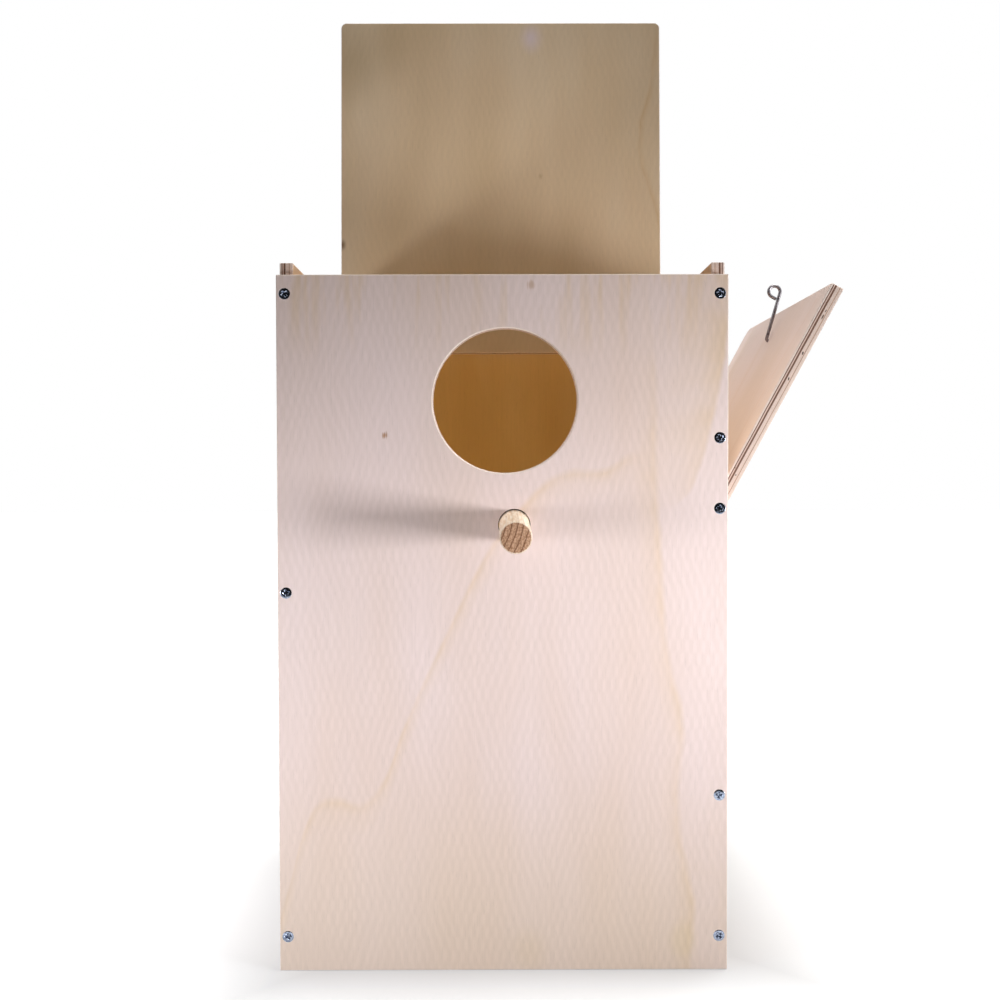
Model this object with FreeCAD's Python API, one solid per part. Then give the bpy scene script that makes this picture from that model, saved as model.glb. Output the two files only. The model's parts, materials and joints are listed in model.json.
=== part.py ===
import FreeCAD, Part
import math
import os

Vector = FreeCAD.Vector

# Bird nest box of plywood with a hinged lid, a top-hung side door and a perch.
# Millimetres and degrees. The origin is the middle of the underside, the front faces -Y,
# the door is on the +X side and +Z is up. The lid and the door are drawn shut and then
# swung open to the resting pose.

# Overall sizes
box_width = 200.0
box_depth = 200.0
front_height = 310.0
ply = 6.0                       # thickness of every plywood board

# Walls
side_inset = 0.7                # side walls stand this far inside the edges of front and back
floor_clearance = 0.2           # between the floor's edges and the walls

# Entrance hole
entrance_radius = 32.0
entrance_drop = 55.7            # centre below the front panel's top edge
entrance_offset = 1.1           # centre to the right of the middle
entrance_easing = 0.6           # eased front rim

# Perch
perch_diameter = 13.4
perch_outside = 50.0            # length in front of the front panel
perch_inside = 30.0             # length behind the front panel
perch_easing = 0.5              # eased ends
perch_hole_clearance = 0.22     # the hole is wider than the dowel by this much all round
perch_seat_gap = 0.05           # dowel from the edges of its hole that it rests on
perch_drop = 55.1               # perch hole's centre below the entrance's centre
perch_offset = 5.1              # perch hole's centre to the right of the middle

# Lid
lid_side_clearance = 1.5
lid_back_gap = 1.5              # between the shut lid and the back panel
lid_front_setback = 1.5         # shut lid's front edge behind the front face
lid_tail = 22.5                 # lid behind its pivot
lid_seat_gap = 0.1              # shut lid above the front panel's top edge
lid_corner_radius = 3.0
lid_open = 92.5                 # resting angle from shut

# Side door
door_pivot_height = 206.4
door_drop = 113.0               # pivot to the door's free edge
door_tail = 10.6                # door above its pivot
door_end_clearance = 0.7        # between the door's ends and the front and back panels
door_edge_gap = 1.0             # shut door above the lower panel
door_stop_gap = 0.2             # open door from the upper panel's corner
door_front_corner_radius = 1.0
door_back_corner_radius = 6.0
door_open = 151.5               # resting angle from shut

# Wire latch
wire_diameter = 1.7
wire_clearance = 0.08           # in its hole, all round
wire_bend_radius = 1.2          # on the wire's middle line
wire_bend_gap = 0.15            # its bends start this far from the door's faces
latch_edge_distance = 19.1      # foot from the door's free edge
latch_offset = -3.0             # foot towards the back from the middle of the door
latch_shank = 25.1              # foot to the start of the eye
latch_shank_lean = 12.2         # away from the door's outer face
latch_eye_radius = 2.95         # on the wire's middle line
latch_eye_turn = 258.0          # the wire turns this far and then runs straight back to the shank
latch_eye_gap = 0.25            # between the middle of the eye's end and the shank
latch_arm = 28.0                # inner arm

# Countersunk screws
screw_head_radius = 2.55
screw_head_height = 1.6
screw_shank_radius = 1.25
screw_length = 20.0
screw_point = 3.0
screw_clearance = 0.05          # in its hole, all round
pivot_clearance = 0.08          # where a screw or nail turns in its hole
hole_end_clearance = 0.5        # hole beyond the point

# Nails
nail_head_radius = 2.0
nail_head_height = 0.9
nail_shank_radius = 0.9
nail_length = 22.0
nail_point = 2.0
nail_seat_gap = 0.1             # lid nail's head above the wall's face
floor_nail_count = 2
floor_nail_margin = 25.0        # end nails from the ends of the floor

# Screw places
low_screw_height = 15.3
top_screw_drop = 8.4            # below the front panel's top edge
left_middle_screw_height = 169.2
upper_screw_rise = 19.1         # above the right upper panel's lower edge
lower_screw_drop = 13.9         # below the right lower panel's upper edge

# Hanging holes in the back panel
hanging_hole_radius = 3.0
hanging_hole_spacing = 100.0
hanging_hole_drop = 42.0        # below the front panel's top edge

# Planes worked out from the sizes above
front_face = -box_depth / 2
back_face = box_depth / 2
front_inside = front_face + ply
back_inside = back_face - ply
side_outside = box_width / 2 - side_inset
side_inside = side_outside - ply
side_middle = side_outside - ply / 2
wall_height = front_height + lid_seat_gap + ply
inside_depth = back_inside - front_inside
wire_radius = wire_diameter / 2

lid_pivot = Vector(0, back_inside - lid_back_gap - lid_tail, front_height + lid_seat_gap + ply / 2)
door_pivot = Vector(side_middle, 0, door_pivot_height)

# The open door's outer face meets the lower outer corner of the upper panel.
door_lean = math.radians(180.0 - door_open)
upper_panel_rise = (ply / 2 * (1 + math.cos(door_lean)) + door_stop_gap) / math.sin(door_lean)
upper_panel_foot = door_pivot_height + upper_panel_rise
lower_panel_height = door_pivot_height - door_drop - door_edge_gap

# Heights of the corner screws
top_screw_height = front_height - top_screw_drop
left_screw_heights = [low_screw_height, left_middle_screw_height, top_screw_height]
right_upper_screw_heights = [upper_panel_foot + upper_screw_rise, top_screw_height]
right_lower_screw_heights = [low_screw_height, lower_panel_height - lower_screw_drop]

along_x = Vector(1, 0, 0)
along_y = Vector(0, 1, 0)
along_z = Vector(0, 0, 1)


def board(origin, along, up, width, height, radii=(0, 0, 0, 0)):
    # A board of the ply thickness: the outline starts at origin, and radii round its corners in turn.
    sides = [along, up, -along, -up]
    corners = [origin, origin + along * width, origin + along * width + up * height, origin + up * height]
    edges = []
    last = None
    first = None
    for corner, radius, turn in zip(corners, radii, range(4)):
        arriving = sides[turn - 1]
        leaving = sides[turn]
        start = corner - arriving * radius
        end = corner + leaving * radius
        if last is not None:
            edges.append(Part.LineSegment(last, start).toShape())
        if radius > 0:
            centre = corner - arriving * radius + leaving * radius
            middle = centre + (arriving - leaving).normalize() * radius
            edges.append(Part.Arc(start, middle, end).toShape())
        if first is None:
            first = start
        last = end
    edges.append(Part.LineSegment(last, first).toShape())
    return Part.Face(Part.Wire(edges)).extrude(along.cross(up) * ply)


def turned(profile):
    # A solid turned about Z from points of (radius, height), which start and end on the axis.
    points = [Vector(radius, 0, height) for radius, height in profile]
    return Part.Face(Part.makePolygon(points + points[:1])).revolve(Vector(0, 0, 0), along_z, 360)


def aimed(shape, place, direction):
    # A turned solid moved so that its origin is at place and its +Z points along direction.
    moved = shape.copy()
    moved.Placement = FreeCAD.Placement(place, FreeCAD.Rotation(along_z, direction))
    return moved


def cylinder(place, direction, radius, length):
    return Part.makeCylinder(radius, length, place, direction)


def screw():
    # The head's flat top is at the origin and faces +Z.
    return turned([
        (0, 0),
        (screw_head_radius, 0),
        (screw_shank_radius, -screw_head_height),
        (screw_shank_radius, screw_point - screw_length),
        (0, -screw_length),
    ])


def screw_hole(clearance):
    # The room that a screw takes up, open above its head.
    head = screw_head_radius + clearance
    shank = screw_shank_radius + clearance
    depth = screw_length + hole_end_clearance
    return turned([
        (0, ply),
        (head, ply),
        (head, 0),
        (shank, -screw_head_height),
        (shank, -depth),
        (0, -depth),
    ])


def nail():
    # The underside of the head is at the origin, and the head stands up along +Z.
    return turned([
        (0, nail_head_height),
        (nail_head_radius, nail_head_height),
        (nail_head_radius, 0),
        (nail_shank_radius, 0),
        (nail_shank_radius, nail_point - nail_length),
        (0, -nail_length),
    ])


def nail_hole(clearance):
    # The room that a nail takes up, open above its head.
    head = nail_head_radius + clearance
    shank = nail_shank_radius + clearance
    depth = nail_length + hole_end_clearance
    return turned([
        (0, ply),
        (head, ply),
        (head, 0),
        (shank, 0),
        (shank, -depth),
        (0, -depth),
    ])


def corner_places(x, heights, face):
    # Screw head places in a row up the front or back panel.
    return [Vector(x, face, height) for height in heights]


# Every row of corner screws: node name, places of its heads and the way they face.
screw_rows = []
for end_name, face, outward in (("front", front_face, -along_y), ("back", back_face, along_y)):
    screw_rows.append((
        end_name + "_left_screws",
        corner_places(-side_middle, left_screw_heights, face),
        outward,
    ))
    screw_rows.append((
        end_name + "_right_upper_screws",
        corner_places(side_middle, right_upper_screw_heights, face),
        outward,
    ))
    screw_rows.append((
        end_name + "_right_lower_screws",
        corner_places(side_middle, right_lower_screw_heights, face),
        outward,
    ))

door_screws = [
    ("door_pivot_screw_front", Vector(door_pivot.x, front_face, door_pivot.z), -along_y),
    ("door_pivot_screw_back", Vector(door_pivot.x, back_face, door_pivot.z), along_y),
]

lid_nail_stand = side_outside + nail_seat_gap
lid_nails = [
    ("lid_pivot_nail_left", Vector(-lid_nail_stand, lid_pivot.y, lid_pivot.z), -along_x),
    ("lid_pivot_nail_right", Vector(lid_nail_stand, lid_pivot.y, lid_pivot.z), along_x),
]

# Floor nails are driven flush with the walls, evenly spaced along the floor.
floor_nail_span = inside_depth - 2 * floor_nail_margin
floor_nail_stand = side_outside - nail_head_height
floor_nail_rows = []
for node, side in (("floor_nails_left", -1), ("floor_nails_right", 1)):
    places = []
    for number in range(floor_nail_count):
        y = front_inside + floor_nail_margin + floor_nail_span * number / (floor_nail_count - 1)
        places.append(Vector(side * floor_nail_stand, y, ply / 2))
    floor_nail_rows.append((node, places, along_x * side))


def all_holes():
    # Holes for every screw and nail that stays fixed.
    holes = []
    for node, places, outward in screw_rows:
        for place in places:
            holes.append(aimed(screw_hole(screw_clearance), place, outward))
    for node, places, outward in floor_nail_rows:
        for place in places:
            holes.append(aimed(nail_hole(screw_clearance), place, outward))
    return Part.Compound(holes)


def pivot_holes():
    # Running holes in the walls, where the door's screws and the lid's nails turn.
    holes = []
    for node, place, outward in door_screws:
        holes.append(aimed(screw_hole(pivot_clearance), place, outward))
    for node, place, outward in lid_nails:
        holes.append(aimed(nail_hole(pivot_clearance), place, outward))
    return Part.Compound(holes)


def entrance_cutter():
    centre = Vector(entrance_offset, front_face, front_height - entrance_drop)
    tool = turned([
        (0, ply),
        (entrance_radius + entrance_easing + ply, ply),
        (entrance_radius + entrance_easing, 0),
        (entrance_radius, -entrance_easing),
        (entrance_radius, -2 * ply),
        (0, -2 * ply),
    ])
    return aimed(tool, centre, -along_y)


perch_radius = perch_diameter / 2
perch_hole_height = front_height - entrance_drop - perch_drop


def perch_hole():
    start = Vector(perch_offset, front_face - ply, perch_hole_height)
    return cylinder(start, along_y, perch_radius + perch_hole_clearance, 3 * ply)


def front_panel():
    origin = Vector(-box_width / 2, front_inside, 0)
    panel = board(origin, along_x, along_z, box_width, front_height)
    return panel.cut([entrance_cutter(), perch_hole(), all_holes(), pivot_holes()])


def back_panel():
    origin = Vector(-box_width / 2, back_face, 0)
    panel = board(origin, along_x, along_z, box_width, wall_height)
    hanging = []
    for side in (-1, 1):
        start = Vector(side * hanging_hole_spacing / 2, back_inside - ply, front_height - hanging_hole_drop)
        hanging.append(cylinder(start, along_y, hanging_hole_radius, 3 * ply))
    return panel.cut(hanging + [all_holes(), pivot_holes()])


def left_side_panel():
    origin = Vector(-side_outside, front_inside, 0)
    panel = board(origin, along_y, along_z, inside_depth, wall_height)
    return panel.cut([all_holes(), pivot_holes()])


def right_upper_panel():
    origin = Vector(side_inside, front_inside, upper_panel_foot)
    panel = board(origin, along_y, along_z, inside_depth, wall_height - upper_panel_foot)
    return panel.cut([all_holes(), pivot_holes()])


def right_lower_panel():
    origin = Vector(side_inside, front_inside, 0)
    panel = board(origin, along_y, along_z, inside_depth, lower_panel_height)
    return panel.cut(all_holes())


def floor_panel():
    width = 2 * (side_inside - floor_clearance)
    depth = inside_depth - 2 * floor_clearance
    panel = board(Vector(-width / 2, -depth / 2, 0), along_x, along_y, width, depth)
    return panel.cut(all_holes())


def perch():
    # The dowel is loose, so it tips down outside until it rests on two edges of its hole.
    length = perch_outside + ply + perch_inside
    dowel = turned([
        (0, 0),
        (perch_radius - perch_easing, 0),
        (perch_radius, perch_easing),
        (perch_radius, length - perch_easing),
        (perch_radius - perch_easing, length),
        (0, length),
    ])
    droop = math.atan(2 * (perch_hole_clearance - perch_seat_gap) / ply)
    way = Vector(0, math.cos(droop), math.sin(droop))
    hole_middle = Vector(perch_offset, front_face + ply / 2, perch_hole_height)
    return aimed(dowel, hole_middle - way * (perch_outside + ply / 2), way)


def opened_lid(shape):
    # From shut to the resting pose.
    moved = shape.copy()
    moved.rotate(lid_pivot, along_x, -lid_open)
    return moved


def opened_door(shape):
    # From shut to the resting pose.
    moved = shape.copy()
    moved.rotate(door_pivot, along_y, -door_open)
    return moved


def lid():
    width = 2 * (side_inside - lid_side_clearance)
    front = front_face + lid_front_setback
    length = lid_pivot.y + lid_tail - front
    origin = Vector(-width / 2, front, lid_pivot.z - ply / 2)
    radii = (lid_corner_radius, lid_corner_radius, 0, 0)
    panel = board(origin, along_x, along_y, width, length, radii)
    nail_room = [
        aimed(nail_hole(screw_clearance), place, outward)
        for node, place, outward in lid_nails
    ]
    return opened_lid(panel.cut(nail_room))


latch_foot_height = door_pivot_height - door_drop + latch_edge_distance


def side_door():
    width = inside_depth - 2 * door_end_clearance
    origin = Vector(side_inside, front_inside + door_end_clearance, door_pivot_height - door_drop)
    radii = (door_front_corner_radius, door_back_corner_radius, 0, 0)
    panel = board(origin, along_y, along_z, width, door_drop + door_tail, radii)
    screw_room = [
        aimed(screw_hole(screw_clearance), place, outward)
        for node, place, outward in door_screws
    ]
    leg_start = Vector(side_inside - ply, latch_offset, latch_foot_height)
    leg_hole = cylinder(leg_start, along_x, wire_radius + wire_clearance, 3 * ply)
    return opened_door(panel.cut(screw_room + [leg_hole]))


def bend(before, corner, after, radius):
    # A tangent arc round a corner of a wire's middle line.
    arriving = (corner - before).normalize()
    leaving = (after - corner).normalize()
    turn = arriving.getAngle(leaving)
    reach = radius * math.tan(turn / 2)
    inward = (leaving - arriving).normalize()
    middle = corner + inward * radius * (1 / math.cos(turn / 2) - 1)
    return Part.Arc(corner - arriving * reach, middle, corner + leaving * reach)


def wire_latch():
    # Drawn on the shut door: an inner arm towards the front, a leg through the door,
    # and an outer shank that hangs down, leans away from the face and ends in an eye.
    lean = math.radians(latch_shank_lean)
    shank_way = Vector(math.sin(lean), 0, -math.cos(lean))
    eye_way = Vector(math.cos(lean), 0, math.sin(lean))
    inner_corner = Vector(side_inside - wire_bend_gap - wire_bend_radius, latch_offset, latch_foot_height)
    outer_reach = wire_bend_gap + wire_bend_radius * math.tan((math.pi / 2 - lean) / 2)
    outer_corner = Vector(side_outside + outer_reach, latch_offset, latch_foot_height)
    arm_end = inner_corner - along_y * latch_arm
    eye_start = outer_corner + shank_way * latch_shank
    inner_bend = bend(arm_end, inner_corner, outer_corner, wire_bend_radius)
    outer_bend = bend(inner_corner, outer_corner, eye_start, wire_bend_radius)

    # The eye: most of a turn, and then straight back until the wire's end is near the shank.
    def eye_point(turn):
        return eye_start + (shank_way * math.sin(turn) + eye_way * (1 - math.cos(turn))) * latch_eye_radius

    eye_turn = math.radians(latch_eye_turn)
    steps = [eye_turn * number / 4 for number in range(5)]
    back_way = shank_way * math.cos(eye_turn) + eye_way * math.sin(eye_turn)
    back_stand = latch_eye_radius * (1 - math.cos(eye_turn)) - wire_radius - latch_eye_gap
    eye_end = eye_point(eye_turn) + back_way * (back_stand / -math.sin(eye_turn))
    path = Part.Wire([
        Part.LineSegment(arm_end, inner_bend.StartPoint).toShape(),
        inner_bend.toShape(),
        Part.LineSegment(inner_bend.EndPoint, outer_bend.StartPoint).toShape(),
        outer_bend.toShape(),
        Part.LineSegment(outer_bend.EndPoint, eye_start).toShape(),
        Part.Arc(eye_point(steps[0]), eye_point(steps[1]), eye_point(steps[2])).toShape(),
        Part.Arc(eye_point(steps[2]), eye_point(steps[3]), eye_point(steps[4])).toShape(),
        Part.LineSegment(eye_point(steps[4]), eye_end).toShape(),
    ])
    section = Part.Wire(Part.Circle(arm_end, along_y, wire_radius).toShape())
    return opened_door(path.makePipeShell([section], True, False))


def group(solids):
    return Part.Compound(solids) if len(solids) > 1 else solids[0]


nodes = {
    "front_panel": front_panel(),
    "back_panel": back_panel(),
    "left_side_panel": left_side_panel(),
    "right_upper_panel": right_upper_panel(),
    "right_lower_panel": right_lower_panel(),
    "floor_panel": floor_panel(),
    "perch": perch(),
    "lid": lid(),
    "side_door": side_door(),
    "wire_latch": wire_latch(),
}
for node, places, outward in screw_rows:
    nodes[node] = group([aimed(screw(), place, outward) for place in places])
for node, places, outward in floor_nail_rows:
    nodes[node] = group([aimed(nail(), place, outward) for place in places])
for node, place, outward in door_screws:
    nodes[node] = opened_door(aimed(screw(), place, outward))
for node, place, outward in lid_nails:
    nodes[node] = opened_lid(aimed(nail(), place, outward))

os.makedirs("parts", exist_ok=True)
for node, shape in nodes.items():
    shape.exportStep("parts/" + node + ".step")
    print(node, len(shape.Solids), "solids", round(shape.Volume, 1), "mm3", shape.isValid())
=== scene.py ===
import json
import math
import random

import bmesh
import bpy
from mathutils import Matrix, Vector, noise

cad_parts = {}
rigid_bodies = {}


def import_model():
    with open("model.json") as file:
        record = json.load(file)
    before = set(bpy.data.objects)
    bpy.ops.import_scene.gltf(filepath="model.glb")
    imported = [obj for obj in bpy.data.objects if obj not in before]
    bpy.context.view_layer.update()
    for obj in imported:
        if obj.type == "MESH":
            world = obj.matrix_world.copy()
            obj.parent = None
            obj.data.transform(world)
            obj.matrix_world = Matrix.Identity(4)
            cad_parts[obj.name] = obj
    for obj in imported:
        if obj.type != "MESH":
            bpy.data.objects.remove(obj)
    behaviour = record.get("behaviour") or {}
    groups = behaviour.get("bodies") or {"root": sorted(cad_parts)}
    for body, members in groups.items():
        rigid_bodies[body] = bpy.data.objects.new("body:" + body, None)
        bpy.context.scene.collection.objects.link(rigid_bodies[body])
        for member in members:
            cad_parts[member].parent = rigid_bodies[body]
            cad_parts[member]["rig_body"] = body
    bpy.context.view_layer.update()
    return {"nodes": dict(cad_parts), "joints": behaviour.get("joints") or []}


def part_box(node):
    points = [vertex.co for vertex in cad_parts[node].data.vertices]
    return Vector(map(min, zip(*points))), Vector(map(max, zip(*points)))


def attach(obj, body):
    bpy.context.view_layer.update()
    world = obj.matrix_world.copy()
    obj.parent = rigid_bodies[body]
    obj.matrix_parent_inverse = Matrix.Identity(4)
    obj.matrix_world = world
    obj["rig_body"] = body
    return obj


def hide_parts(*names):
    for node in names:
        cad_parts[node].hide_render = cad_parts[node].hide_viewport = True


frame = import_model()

nodes = frame["nodes"]
joints = {joint["name"]: joint for joint in frame["joints"]}
scene = bpy.context.scene
mm = 0.001  # the frame is in metres, the sizes below are in millimetres
mergeGap = 0.001 * mm
print("frame loaded,", len(nodes), "nodes")


# Small tools

def linearColour(hexColour):
    parts = [int(hexColour[i:i + 2], 16) / 255 for i in (1, 3, 5)]
    return [c / 12.92 if c <= 0.04045 else ((c + 0.055) / 1.055) ** 2.4 for c in parts] + [1.0]


def grey(level):
    return (level, level, level, 1.0)


def perSize(sizes):
    # the scale that gives a pattern these sizes
    return [1 / size for size in sizes]


def setInputs(tree, node, inputs):
    # each input is a value, a socket or the node that feeds it
    for key, value in dict(inputs).items():
        named = [s for s in node.inputs if s.enabled and s.name == key]
        socket = named[0] if named else node.inputs[key]
        if isinstance(value, bpy.types.Node):
            value = next(s for s in value.outputs if s.enabled)
        if isinstance(value, bpy.types.NodeSocket):
            tree.links.new(value, socket)
        else:
            socket.default_value = value


def addNode(tree, kind, inputs=(), stops=(), points=(), **settings):
    # one node with its settings and links
    node = tree.nodes.new(kind)
    for name, value in settings.items():
        setattr(node, name, value)
    # a ramp's stops are pairs of place and hex colour or grey level, a curve's points pairs from 0 to 1
    for i, (place, shade) in enumerate(stops):
        stop = node.color_ramp.elements[i] if i < 2 else node.color_ramp.elements.new(place)
        stop.position = place
        stop.color = linearColour(shade) if isinstance(shade, str) else grey(shade)
    if points:
        curve = node.mapping.curves[0]
        while len(curve.points) < len(points):
            curve.points.new(0.5, 0.5)
        for point, place in zip(curve.points, points):
            point.location = place
        node.mapping.update()
    setInputs(tree, node, inputs)
    return node


def newMaterial(name, **sockets):
    # sockets hold what is the same all over the surface
    material = bpy.data.materials.new(name)
    material.use_nodes = True
    tree = material.node_tree
    shader = tree.nodes["Principled BSDF"]
    for socket, value in sockets.items():
        shader.inputs[socket.replace("_", " ")].default_value = value
    return material, tree, shader


def placeInMillimetres(tree, **turned):
    # object coordinates in millimetres, shifted or turned where that is asked for
    place = addNode(tree, "ShaderNodeTexCoord").outputs["Object"]
    return addNode(tree, "ShaderNodeMapping", {"Vector": place, "Scale": (1 / mm,) * 3, **turned})


def shadeByAngle(bm, degrees):
    for face in bm.faces:
        face.smooth = True
    for edge in bm.edges:
        edge.smooth = edge.calc_face_angle(math.pi) < math.radians(degrees)


def copyOfNode(name):
    # a CAD mesh is loose triangles, so its copy is merged first
    bm = bmesh.new()
    bm.from_mesh(nodes[name].data)
    bmesh.ops.remove_doubles(bm, verts=bm.verts, dist=mergeGap)
    return bm


def linkedGroups(parts, neighbours):
    # splits parts into groups that hang together
    left = set(parts)
    groups = []
    while left:
        reached = [left.pop()]
        for part in reached:
            near = [other for other in neighbours(part) if other in left]
            left.difference_update(near)
            reached.extend(near)
        groups.append(reached)
    return groups


def solidBoxes(name):
    # the lowest and highest corner of each separate solid in a CAD node
    bm = copyOfNode(name)
    groups = linkedGroups(bm.verts, lambda v: [e.other_vert(v) for e in v.link_edges])
    boxes = []
    for group in groups:
        columns = list(zip(*[v.co for v in group]))
        boxes.append((Vector(map(min, columns)), Vector(map(max, columns))))
    bm.free()
    return sorted(boxes, key=lambda corners: tuple(corners[0]))


def turnedShape(profile, steps):
    # spins an outline of radius and height, in millimetres, round the Z axis
    bm = bmesh.new()
    line = [bm.verts.new((radius * mm, 0, height * mm)) for radius, height in profile]
    edges = [bm.edges.new(pair) for pair in zip(line, line[1:])]
    bmesh.ops.spin(bm, geom=line + edges, cent=(0, 0, 0), axis=(0, 0, 1), angle=2 * math.pi,
                   steps=steps, use_merge=True)
    bmesh.ops.remove_doubles(bm, verts=bm.verts, dist=mergeGap)
    bmesh.ops.recalc_face_normals(bm, faces=bm.faces)
    return bm


def combined(bm, tool, operation):
    # Blender's exact boolean on two shapes, which are used up
    held = []
    for part in (bm, tool):
        mesh = bpy.data.meshes.new("held")
        part.to_mesh(mesh)
        part.free()
        held.append(bpy.data.objects.new("held", mesh))
        scene.collection.objects.link(held[-1])
    cut = held[0].modifiers.new("cut", "BOOLEAN")
    cut.operation = operation
    cut.solver = "EXACT"
    cut.object = held[1]
    found = bpy.context.evaluated_depsgraph_get()
    made = bpy.data.meshes.new_from_object(held[0].evaluated_get(found))
    for part in held:
        bpy.data.meshes.remove(part.data)
    # its corners and faces come in any order, so they are put in order of place
    order = sorted(made.vertices, key=lambda v: [round(x / mergeGap) for x in v.co])
    rank = {v.index: i for i, v in enumerate(order)}
    rings = []
    for face in made.polygons:
        ring = [rank[i] for i in face.vertices]
        first = ring.index(min(ring))
        rings.append(ring[first:] + ring[:first])
    ordered = bmesh.new()
    corners = [ordered.verts.new(v.co) for v in order]
    for ring in sorted(rings):
        ordered.faces.new([corners[i] for i in ring])
    bmesh.ops.dissolve_degenerate(ordered, dist=mergeGap, edges=ordered.edges)
    bpy.data.meshes.remove(made)
    return ordered


def addPiece(node, bm, materials):
    # the finished piece takes the place of its CAD node and moves with the same body
    name = node + "_detailed"
    mesh = bpy.data.meshes.new(name)
    bm.to_mesh(mesh)
    bm.free()
    for material in materials:
        mesh.materials.append(material)
    piece = bpy.data.objects.new(name, mesh)
    scene.collection.objects.link(piece)
    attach(piece, nodes[node]["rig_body"])
    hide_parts(node)


# Camera, fitted to the corners of the front, the lid and the holes

cameraView = {
    "place": (-2.6, -654.7, 223.6),
    "yaw": -0.143,
    "pitch": -1.372,
    "roll": 0.12,
    "lens": 45.06,
    "sensor": 36.0,
    "nearest": 10,
}


def addCamera():
    lens = bpy.data.cameras.new("camera")
    lens.lens = cameraView["lens"]
    lens.sensor_width = cameraView["sensor"]
    lens.clip_start = cameraView["nearest"] * mm
    camera = bpy.data.objects.new("camera", lens)
    scene.collection.objects.link(camera)
    turn = Matrix.Identity(4)
    for angle, axis in (("yaw", "Z"), ("pitch", "X"), ("roll", "Y")):
        turn = turn @ Matrix.Rotation(math.radians(cameraView[angle]), 4, axis)
    upright = Matrix.Rotation(math.radians(90), 4, "X")
    camera.matrix_world = Matrix.Translation(Vector(cameraView["place"]) * mm) @ turn @ upright
    scene.camera = camera


addCamera()
scene.view_settings.view_transform = "Standard"
print("camera placed")


# Studio: a white paper floor, white surroundings, soft lamps at both sides, above and behind.
# A black card on the camera's side shows in polished metal only.

studio = {
    "ambient": 0.2,
    "ambientColour": "#FFF3E6",
    "floorColour": "#B9BBBF",
    "floorHalf": 6000,
    "floorDrop": 0.1,
    # the glow is dimmer beside the box and its middle is shifted to the box's right: a painted shadow
    # round the box, over the real one
    "floorGlow": (0.2, 1.02),  # beside the box and further out
    "floorGlowReach": (88, 190),  # where the glow begins and is full
    "paintedFloorShadowShift": (18, 3),
    "cardColour": "#101113",
    "cardPlace": (0, -700, 560),
    "cardHalf": 560,
    # a lamp's spread, in degrees, keeps its light on what it is aimed at
    "lamps": {
        "rightLamp": {
            "place": (440, -370, 156), "aim": (62, -100, 172), "size": 110, "spread": 66,
            "watts": 0.347, "colour": "#FFFFFF"},
        "leftLamp": {
            "place": (-420, -350, 120), "aim": (-115, -100, 86), "size": 160, "spread": 58,
            "watts": 0.186, "colour": "#F7FAFF"},
        "leftGrazeLamp": {
            "place": (-420, -150, 170), "aim": (15, -105, 228), "size": 60, "spread": 24,
            "watts": 0.006, "colour": "#FFE6C4"},
        "rightLidLamp": {
            "place": (440, -100, 215), "aim": (20, 75, 380), "size": 120, "spread": 32,
            "watts": 0.0245, "colour": "#F8F9FA"},
        "leftLidLamp": {
            "place": (-400, -100, 74), "aim": (25, 75, 380), "size": 80, "spread": 29,
            "watts": 0.033, "colour": "#F8F9FA"},
        "topLamp": {
            "place": (300, 150, 1200), "aim": (80, 50, 200), "size": 700, "spread": 100,
            "watts": 3.9, "colour": "#FFFDF5"},
        "rearRightLamp": {
            "place": (800, 700, 400), "aim": (0, 100, 250), "size": 500, "spread": 60,
            "watts": 0.4, "colour": "#FFFFFF"},
        "rearLeftLamp": {
            "place": (-800, 700, 400), "aim": (0, 100, 250), "size": 500, "spread": 60,
            "watts": 0.4, "colour": "#FFFFFF"},
    },
}


def seenDirectly(tree):
    # 1 for camera, glossy and transmission rays
    path = addNode(tree, "ShaderNodeLightPath")
    seen = path.outputs["Is Camera Ray"]
    for ray in ("Is Glossy Ray", "Is Transmission Ray"):
        seen = addNode(tree, "ShaderNodeMath", {0: seen, 1: path.outputs[ray]}, operation="MAXIMUM")
    return seen


def paperFloor():
    # Matt seamless paper: keeps the real shadow near the box, deepens it there with a dimmer glow as
    # painted shadow, and goes to plain white further out
    material, tree, shader = newMaterial(
        "seamlessPaper", Roughness=0.9, Base_Color=linearColour(studio["floorColour"]),
        Emission_Color=grey(1))
    shiftX, shiftY = studio["paintedFloorShadowShift"]
    place = placeInMillimetres(tree, Location=(-shiftX, -shiftY, 0))
    parts = addNode(tree, "ShaderNodeSeparateXYZ", {
        0: addNode(tree, "ShaderNodeVectorMath", {0: place}, operation="ABSOLUTE")})
    far = addNode(tree, "ShaderNodeMath", {
        0: parts.outputs["X"], 1: parts.outputs["Y"]}, operation="MAXIMUM")
    (near, reach), (dim, bright) = studio["floorGlowReach"], studio["floorGlow"]
    glow = addNode(tree, "ShaderNodeMapRange", {
        "Value": far, "From Min": near, "From Max": reach, "To Min": dim, "To Max": bright})
    shown = addNode(tree, "ShaderNodeMath", {0: glow, 1: seenDirectly(tree)}, operation="MULTIPLY")
    setInputs(tree, shader, {"Emission Strength": shown})
    return material


def stagePlane(name, half, matrix, material):
    bm = bmesh.new()
    bmesh.ops.create_grid(bm, x_segments=1, y_segments=1, size=half * mm)
    bmesh.ops.transform(bm, matrix=matrix, verts=bm.verts)
    mesh = bpy.data.meshes.new(name)
    bm.to_mesh(mesh)
    bm.free()
    mesh.materials.append(material)
    plane = bpy.data.objects.new(name, mesh)
    scene.collection.objects.link(plane)
    return plane


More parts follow.
